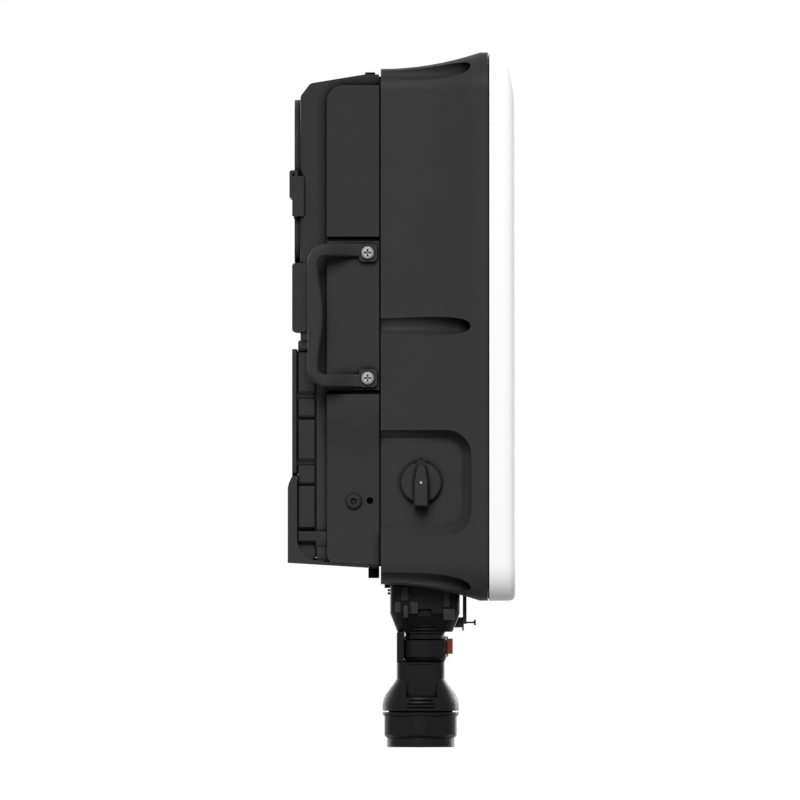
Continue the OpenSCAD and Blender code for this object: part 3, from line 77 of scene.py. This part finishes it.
def add_sun(name, towards, strength, softness):
    """Adds a far lamp that shines along a direction, with soft shadows."""
    data = bpy.data.lights.new(name, "SUN")
    data.energy = strength
    data.angle = math.radians(softness)
    lamp = bpy.data.objects.new(name, data)
    lamp.rotation_euler = Vector(towards).to_track_quat("-Z", "Y").to_euler()
    scene.collection.objects.link(lamp)


add_sun("key_lamp", (0.84, -0.05, -0.52), 2.6, 28)
add_sun("rear_lamp", (0.85, -0.3, -0.42), 0.5, 30)
add_sun("front_lamp", (-0.75, 0.6, -0.3), 2.4, 40)
add_sun("far_lamp", (-0.75, -0.6, -0.3), 1.4, 50)
add_sun("top_lamp", (0.1, 0, -1), 0.2, 60)

# The surround gives a little light, and shows white to the camera, in gloss and through glass.
world = bpy.data.worlds.new("surround")
scene.world = world
world.use_nodes = True
tree = world.node_tree
tree.nodes.clear()
soft_light = tree.nodes.new("ShaderNodeBackground")
soft_light.inputs["Color"].default_value = (1, 1, 1, 1)
soft_light.inputs["Strength"].default_value = 0.1
white = tree.nodes.new("ShaderNodeBackground")
white.inputs["Color"].default_value = (1, 1, 1, 1)
path = tree.nodes.new("ShaderNodeLightPath")
seen_or_mirrored = tree.nodes.new("ShaderNodeMath")
seen_or_mirrored.operation = "MAXIMUM"
shows_white = tree.nodes.new("ShaderNodeMath")
shows_white.operation = "MAXIMUM"
choose = tree.nodes.new("ShaderNodeMixShader")
world_out = tree.nodes.new("ShaderNodeOutputWorld")
tree.links.new(path.outputs["Is Camera Ray"], seen_or_mirrored.inputs[0])
tree.links.new(path.outputs["Is Glossy Ray"], seen_or_mirrored.inputs[1])
tree.links.new(seen_or_mirrored.outputs[0], shows_white.inputs[0])
tree.links.new(path.outputs["Is Transmission Ray"], shows_white.inputs[1])
tree.links.new(shows_white.outputs[0], choose.inputs["Fac"])
tree.links.new(soft_light.outputs[0], choose.inputs[1])
tree.links.new(white.outputs[0], choose.inputs[2])
tree.links.new(choose.outputs[0], world_out.inputs["Surface"])

# The floor shows only from above, and gives less light back than it shows, so that it stays a soft fill.
floor_drop = 0.55
floor_half = 4
floor_shape = bmesh.new()
bmesh.ops.create_grid(
    floor_shape, x_segments=1, y_segments=1, size=floor_half,
    matrix=Matrix.Translation((0, 0, cad_box[0][2] - floor_drop)),
)
floor_mesh = bpy.data.meshes.new("floor")
floor_shape.to_mesh(floor_mesh)
floor_shape.free()
floor = bpy.data.objects.new("floor", floor_mesh)
scene.collection.objects.link(floor)
floor_paint = bpy.data.materials.new("floor_paint")
floor_paint.use_nodes = True
tree = floor_paint.node_tree
paint = tree.nodes["Principled BSDF"]
paint.inputs["Base Color"].default_value = (0.9, 0.9, 0.9, 1)
paint.inputs["Roughness"].default_value = 0.9
clear = tree.nodes.new("ShaderNodeBsdfTransparent")
dim = tree.nodes.new("ShaderNodeBsdfDiffuse")
dim.inputs["Color"].default_value = (0.3, 0.3, 0.3, 1)
path = tree.nodes.new("ShaderNodeLightPath")
bounce = tree.nodes.new("ShaderNodeMixShader")
tree.links.new(path.outputs["Is Diffuse Ray"], bounce.inputs["Fac"])
tree.links.new(paint.outputs[0], bounce.inputs[1])
tree.links.new(dim.outputs[0], bounce.inputs[2])
side = tree.nodes.new("ShaderNodeNewGeometry")
choose = tree.nodes.new("ShaderNodeMixShader")
tree.links.new(side.outputs["Backfacing"], choose.inputs["Fac"])
tree.links.new(bounce.outputs[0], choose.inputs[1])
tree.links.new(clear.outputs[0], choose.inputs[2])
tree.links.new(choose.outputs[0], tree.nodes["Material Output"].inputs["Surface"])
floor_mesh.materials.append(floor_paint)


# HEAT SINK
# The aluminium base that carries the power modules in front and the cooling fins behind, with the box of
# the potted chokes. It is cast and then machined, and stays bare.
roughness_swing = 0.06
edge_round_mm = 0.5
drift_size = 60


def finish(name, colour, roughness, grain_mm, relief, metallic=0.0, gloss=0.5, mottle=0.08, nook_mm=6):
    """A surface with a fine grain, a slow drift in its colour, soft edges, and in its nooks a rougher gloss
    and painted shade that darkens its colour.
    """
    material = bpy.data.materials.new(name)
    material.use_nodes = True
    tree = material.node_tree
    shader = tree.nodes["Principled BSDF"]
    shader.inputs["Metallic"].default_value = metallic
    shader.inputs["Specular IOR Level"].default_value = gloss
    place = tree.nodes.new("ShaderNodeTexCoord")

    def noise(size_mm, detail):
        pattern = tree.nodes.new("ShaderNodeTexNoise")
        pattern.inputs["Scale"].default_value = 1000 / size_mm
        pattern.inputs["Detail"].default_value = detail
        tree.links.new(place.outputs["Object"], pattern.inputs["Vector"])
        return pattern

    grain = noise(grain_mm, 3)
    drift = noise(grain_mm * drift_size, 2)

    tint = tree.nodes.new("ShaderNodeMix")
    tint.data_type = "RGBA"
    tint.inputs[6].default_value = (*[c * (1 - mottle) for c in colour], 1)
    tint.inputs[7].default_value = (*[min(1, c * (1 + mottle)) for c in colour], 1)
    tree.links.new(drift.outputs["Fac"], tint.inputs["Factor"])

    spread = tree.nodes.new("ShaderNodeMapRange")
    spread.inputs["From Min"].default_value = 0.3
    spread.inputs["From Max"].default_value = 0.7
    spread.inputs["To Min"].default_value = roughness - roughness_swing
    spread.inputs["To Max"].default_value = roughness + roughness_swing
    tree.links.new(grain.outputs["Fac"], spread.inputs["Value"])

    nook = tree.nodes.new("ShaderNodeAmbientOcclusion")
    nook.samples = 8
    nook.inputs["Distance"].default_value = nook_mm / 1000
    dull = tree.nodes.new("ShaderNodeMapRange")
    dull.inputs["From Min"].default_value = 0.4
    dull.inputs["From Max"].default_value = 0.85
    dull.inputs["To Min"].default_value = 0.9
    tree.links.new(nook.outputs["AO"], dull.inputs["Value"])
    tree.links.new(spread.outputs["Result"], dull.inputs["To Max"])
    tree.links.new(dull.outputs["Result"], shader.inputs["Roughness"])

    # Painted shade: the base colour is darkened towards black where the occlusion finds nearby surfaces, in
    # corners, creases and recesses.
    painted_shade_amount = tree.nodes.new("ShaderNodeMapRange")
    painted_shade_amount.inputs["From Min"].default_value = 0.42
    painted_shade_amount.inputs["From Max"].default_value = 0.88
    painted_shade_amount.inputs["To Min"].default_value = 0.02
    tree.links.new(nook.outputs["AO"], painted_shade_amount.inputs["Value"])
    shaded = tree.nodes.new("ShaderNodeMix")
    shaded.data_type = "RGBA"
    shaded.inputs[6].default_value = (0, 0, 0, 1)
    tree.links.new(painted_shade_amount.outputs["Result"], shaded.inputs["Factor"])
    tree.links.new(tint.outputs[2], shaded.inputs[7])
    tree.links.new(shaded.outputs[2], shader.inputs["Base Color"])

    soft_edge = tree.nodes.new("ShaderNodeBevel")
    soft_edge.samples = 6
    soft_edge.inputs["Radius"].default_value = edge_round_mm / 1000
    bump = tree.nodes.new("ShaderNodeBump")
    tree.links.new(soft_edge.outputs["Normal"], bump.inputs["Normal"])
    bump.inputs["Strength"].default_value = relief
    bump.inputs["Distance"].default_value = grain_mm / 1000
    tree.links.new(grain.outputs["Fac"], bump.inputs["Height"])
    tree.links.new(bump.outputs["Normal"], shader.inputs["Normal"])
    return material


weld_gap = 0.00002


def dress(material, *pieces, crease=32):
    """Gives CAD nodes, by name, or new pieces their finish, joins loose triangles and keeps creases crisp."""
    for piece in pieces:
        piece = nodes[piece] if isinstance(piece, str) else piece
        piece.data.materials.clear()
        piece.data.materials.append(material)
        piece.data.polygons.foreach_set("use_smooth", [True] * len(piece.data.polygons))
        weld = piece.modifiers.new("weld", "WELD")
        weld.merge_threshold = weld_gap
        split = piece.modifiers.new("creases", "EDGE_SPLIT")
        split.split_angle = math.radians(crease)


bare_aluminium = finish("bare_aluminium", (0.62, 0.63, 0.64), 0.42, 0.6, 0.1, metallic=1.0)
dress(bare_aluminium, "heat_sink", "choke_box")

# REAR HOUSING
# A die-cast box round the fins, painted with a fine matte black paint. Its side pads stand out, with a
# dished step above the earth screw, and it is screwed to the front housing from above.
casting_paint = finish("casting_paint", (0.034, 0.034, 0.035), 0.45, 0.5, 0.08, gloss=0.045, nook_mm=16)
screw_zinc = finish("screw_zinc", (0.33, 0.33, 0.32), 0.6, 0.3, 0.08, metallic=0.5, gloss=0.3, nook_mm=2)


def add_piece(name, shape):
    """Turns a finished bmesh into a piece of the scene."""
    data = bpy.data.meshes.new(name)
    shape.to_mesh(data)
    shape.free()
    piece = bpy.data.objects.new(name, data)
    scene.collection.objects.link(piece)
    return piece


# The CAD holds this casting in two nodes that meet at a plane; here it is one skin without that seam.
meeting_y = min(v.co.y for v in nodes["rear_wall"].data.vertices)
on_plane = 0.00003
shell = bmesh.new()
shell.from_mesh(nodes["rear_housing"].data)
shell.from_mesh(nodes["rear_wall"].data)
bmesh.ops.remove_doubles(shell, verts=shell.verts, dist=weld_gap)
inner_faces = [face for face in shell.faces if all(abs(v.co.y - meeting_y) < on_plane for v in face.verts)]
bmesh.ops.delete(shell, geom=inner_faces, context="FACES")
rear_casting = add_piece("rear_casting", shell)
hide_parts("rear_housing", "rear_wall")
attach(rear_casting, "root")
dress(casting_paint, rear_casting, "housing_screws")

# HANGER
# Folded steel sheet, painted black: the raised panel, and the rail whose hook hangs on the wall rail.
# Four countersunk screws hold the rail to the housing.
sheet_paint = finish("sheet_paint", (0.034, 0.034, 0.035), 0.45, 0.35, 0.1, gloss=0.045)
dress(sheet_paint, "rear_panel", "hanger_rail", "cable_trough", "fan_guard", "wall_rest")
dress(screw_zinc, "hanger_screws")

# FANS
# Three fans in a moulded tray behind the housing, each a frame with struts and a rotor of seven blades.
# A near-black foam strip on each side closes the gap between the tray's front edge and the housing, and
# stands in for the shade in that gap: painted shade.
fan_nylon = finish("fan_nylon", (0.033, 0.033, 0.034), 0.42, 0.4, 0.08, gloss=0.04)
dress(fan_nylon, "fan_tray")
seal_rubber = finish("seal_rubber", (0.012, 0.012, 0.012), 0.65, 0.4, 0.15, gloss=0.3)


def block(low, high, round_mm):
    """A moulded block between two corners in millimetres, with its edges rounded."""
    low, high = Vector(low) / 1000, Vector(high) / 1000
    shape = bmesh.new()
    place = Matrix.Translation((low + high) / 2) @ Matrix.Diagonal((*(high - low), 1))
    bmesh.ops.create_cube(shape, size=1, matrix=place)
    bmesh.ops.bevel(
        shape, geom=shape.edges[:], offset=round_mm / 1000, segments=3, profile=0.5, affect="EDGES",
        clamp_overlap=True, material=-1,
    )
    return shape


strip_front_y, strip_back_y = -23.25, -21.33
strip_low_z, strip_top_z = -372, -170
strip_round = 0.4
for side, inner_x, outer_x in (("left", -199.5, -206.6), ("right", 199.5, 206.6)):
    strip_x = sorted((inner_x, outer_x))
    low_corner = (strip_x[0], strip_front_y, strip_low_z)
    high_corner = (strip_x[1], strip_back_y, strip_top_z)
    strip = add_piece("tray_shade_seal_" + side, block(low_corner, high_corner, strip_round))
    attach(strip, "root")
    # The strip's near-black rubber is painted shade for the gap it fills.
    dress(seal_rubber, strip)
for place in ("left", "middle", "right"):
    dress(fan_nylon, "fan_frame_" + place, "fan_rotor_" + place)

# HANDLES
# Moulded nylon handles, one on each side, with a grip bent out from two flat feet.
# Each is fixed with two bright pan-head screws.
handle_nylon = finish("handle_nylon", (0.038, 0.038, 0.039), 0.4, 0.6, 0.12, gloss=0.03)
dress(handle_nylon, "handle_left", "handle_right")
dress(screw_zinc, "handle_screws")

# FRONT HOUSING
# The die-cast box that flares out to the front flange, with six screw channels and a recess for the switch.
# Rubber gaskets seal it against the heat sink and the cover, and screws behind the flange hold the cover.
dress(casting_paint, "front_housing")
dress(seal_rubber, "heat_sink_gasket", "cover_gasket")
dress(screw_zinc, "cover_screws")

# SWITCH AND EARTH TERMINAL
# The DC switch turns a quarter with its moulded knob, in whose blade the end of the shaft shows as a bright
# pip in a dark ring. The earth screw beside it has a hexagon socket.
knob_nylon = finish("knob_nylon", (0.034, 0.034, 0.035), 0.38, 0.4, 0.08, gloss=0.04)
dress(knob_nylon, "dc_switch_knob")
shaft_end = (min(v.co.x for v in nodes["dc_switch_knob"].data.vertices), -0.1277, -0.3097)


def turned(outline, centre):
    """A turned piece that faces left, spun from its half outline of radii and heights in millimetres."""
    shape = bmesh.new()
    points = [shape.verts.new((radius / 1000, 0, height / 1000)) for radius, height in outline]
    lines = [shape.edges.new(pair) for pair in zip(points, points[1:])]
    bmesh.ops.spin(
        shape, geom=points + lines, cent=(0, 0, 0), axis=(0, 0, 1), angle=math.tau, steps=40, use_merge=True
    )
    bmesh.ops.remove_doubles(shape, verts=shape.verts, dist=0.000001)
    bmesh.ops.recalc_face_normals(shape, faces=shape.faces)
    facing_left = Matrix.Rotation(math.radians(-90), 4, "Y")
    bmesh.ops.transform(shape, matrix=Matrix.Translation(centre) @ facing_left, verts=shape.verts)
    return shape


pip_outline = [(0, -0.4), (1.3, -0.4), (1.3, 0.15), (0.9, 0.3), (0, 0.35)]
pip = add_piece("switch_pip", turned(pip_outline, shaft_end))
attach(pip, "dc_switch")
dress(screw_zinc, pip)
ring_outline = [(1.6, -0.4), (2.9, -0.4), (2.9, 0.1), (2.5, 0.25), (1.6, 0.2), (1.6, -0.4)]
ring = add_piece("switch_pip_ring", turned(ring_outline, shaft_end))
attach(ring, "dc_switch")
dress(seal_rubber, ring)
dark_case = finish("dark_case", (0.05, 0.05, 0.055), 0.4, 0.5, 0.08)
dress(dark_case, "dc_switch_body")
dress(seal_rubber, "dc_switch_seal")
dark_steel = finish("dark_steel", (0.03, 0.03, 0.03), 0.34, 0.3, 0.1, gloss=0.06, nook_mm=3)
dress(dark_steel, "earth_screw")

# ELECTRONICS
# Boards, modules, capacitors, relays and chokes, which the closed housing hides.
# The boards stand on bright pillars.
board_mask = finish("board_mask", (0.02, 0.13, 0.05), 0.35, 0.8, 0.05)
dress(board_mask, "power_board", "control_board", "filter_board")
dress(dark_case, "power_modules", "dc_link_capacitors", "relays")
copper = finish("copper", (0.7, 0.38, 0.16), 0.35, 0.8, 0.2, metallic=1.0)
dress(copper, "filter_chokes", "ac_contacts")
dress(screw_zinc, "board_pillars")

# FRONT COVER
# One pressed cover with rolled edges, painted white with a smooth powder-like paint.
# A frosted light sits in its face.
cover_paint = finish("cover_paint", (0.93, 0.93, 0.93), 0.4, 0.4, 0.05, gloss=0.35, mottle=0.01)
dress(cover_paint, "front_cover", crease=40)
frosted = finish("frosted", (0.6, 0.63, 0.65), 0.25, 0.5, 0.05)
dress(frosted, "status_lens")

# MAINS CONNECTOR
# The socket under the body, the plug with its lock ring and red release tab, and the gland nut below, all
# moulded in nylon. Keys and guide ribs stand on the socket's side, and a thin pad lies on the latch arm.
connector_nylon = finish("connector_nylon", (0.0115, 0.0115, 0.012), 0.3, 0.5, 0.1, gloss=0.045)
tab_nylon = finish("tab_nylon", (0.17, 0.035, 0.016), 0.4, 0.5, 0.1, gloss=0.06)
facet_crease = 14
dress(connector_nylon, "ac_socket", "ac_plug_body", "ac_plug_insert", crease=facet_crease)
dress(connector_nylon, "ac_lock_ring", "ac_gland_nut", crease=facet_crease)
dress(tab_nylon, "ac_release_tab")
dress(seal_rubber, "ac_gland_seal")

# Each rib's front, back, low and top edge, and how far it stands out. Below the edge where the socket's side
# slopes in, a rib reaches further in to meet it.
socket_ribs = [
    (-115.1, -107.6, -428, -413, 2),
    (-114.6, -110.1, -445, -433, 2.6),
    (-107.4, -101.6, -440, -429, 1.2),
    (-124.6, -116.6, -441, -429, 0.9),
    (-156.6, -150.1, -434.8, -418.6, 2),
    (-161.6, -150.1, -447.5, -436, 2.4),
]
socket_face_x = -182.9
socket_slope_z = -441
rib_round = 0.7
for number, (front_y, back_y, low_z, top_z, proud) in enumerate(socket_ribs, start=1):
    reach_in = 8 if low_z < socket_slope_z else 1
    low_corner = (socket_face_x - proud, front_y, low_z)
    high_corner = (socket_face_x + reach_in, back_y, top_z)
    rib = add_piece("socket_rib_%d" % number, block(low_corner, high_corner, rib_round))
    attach(rib, "root")
    # Painted highlight: the ribs take the lighter knob nylon instead of the socket's own darker nylon, so
    # that they show as lit strips.
    dress(knob_nylon, rib)
pad_round = 0.2
pad_shape = block((-163.5, -111, -460.28), (-136.5, -104.2, -459.52), pad_round)
pad = add_piece("latch_pad", pad_shape)
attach(pad, "root")
dress(seal_rubber, pad)

# OTHER CONNECTORS
# The backup socket with its cap, the PV and battery sockets with rubber caps, the cover of the
# communication ports, the breather, and the small bracket with its screw.
dress(connector_nylon, "backup_socket", "backup_cap", "pv_sockets", "battery_sockets")
dress(connector_nylon, "com_port_cover", "breather_vent")
dress(seal_rubber, "pv_caps", "battery_caps")
dress(sheet_paint, "socket_bracket")
dress(dark_steel, "bracket_screw")
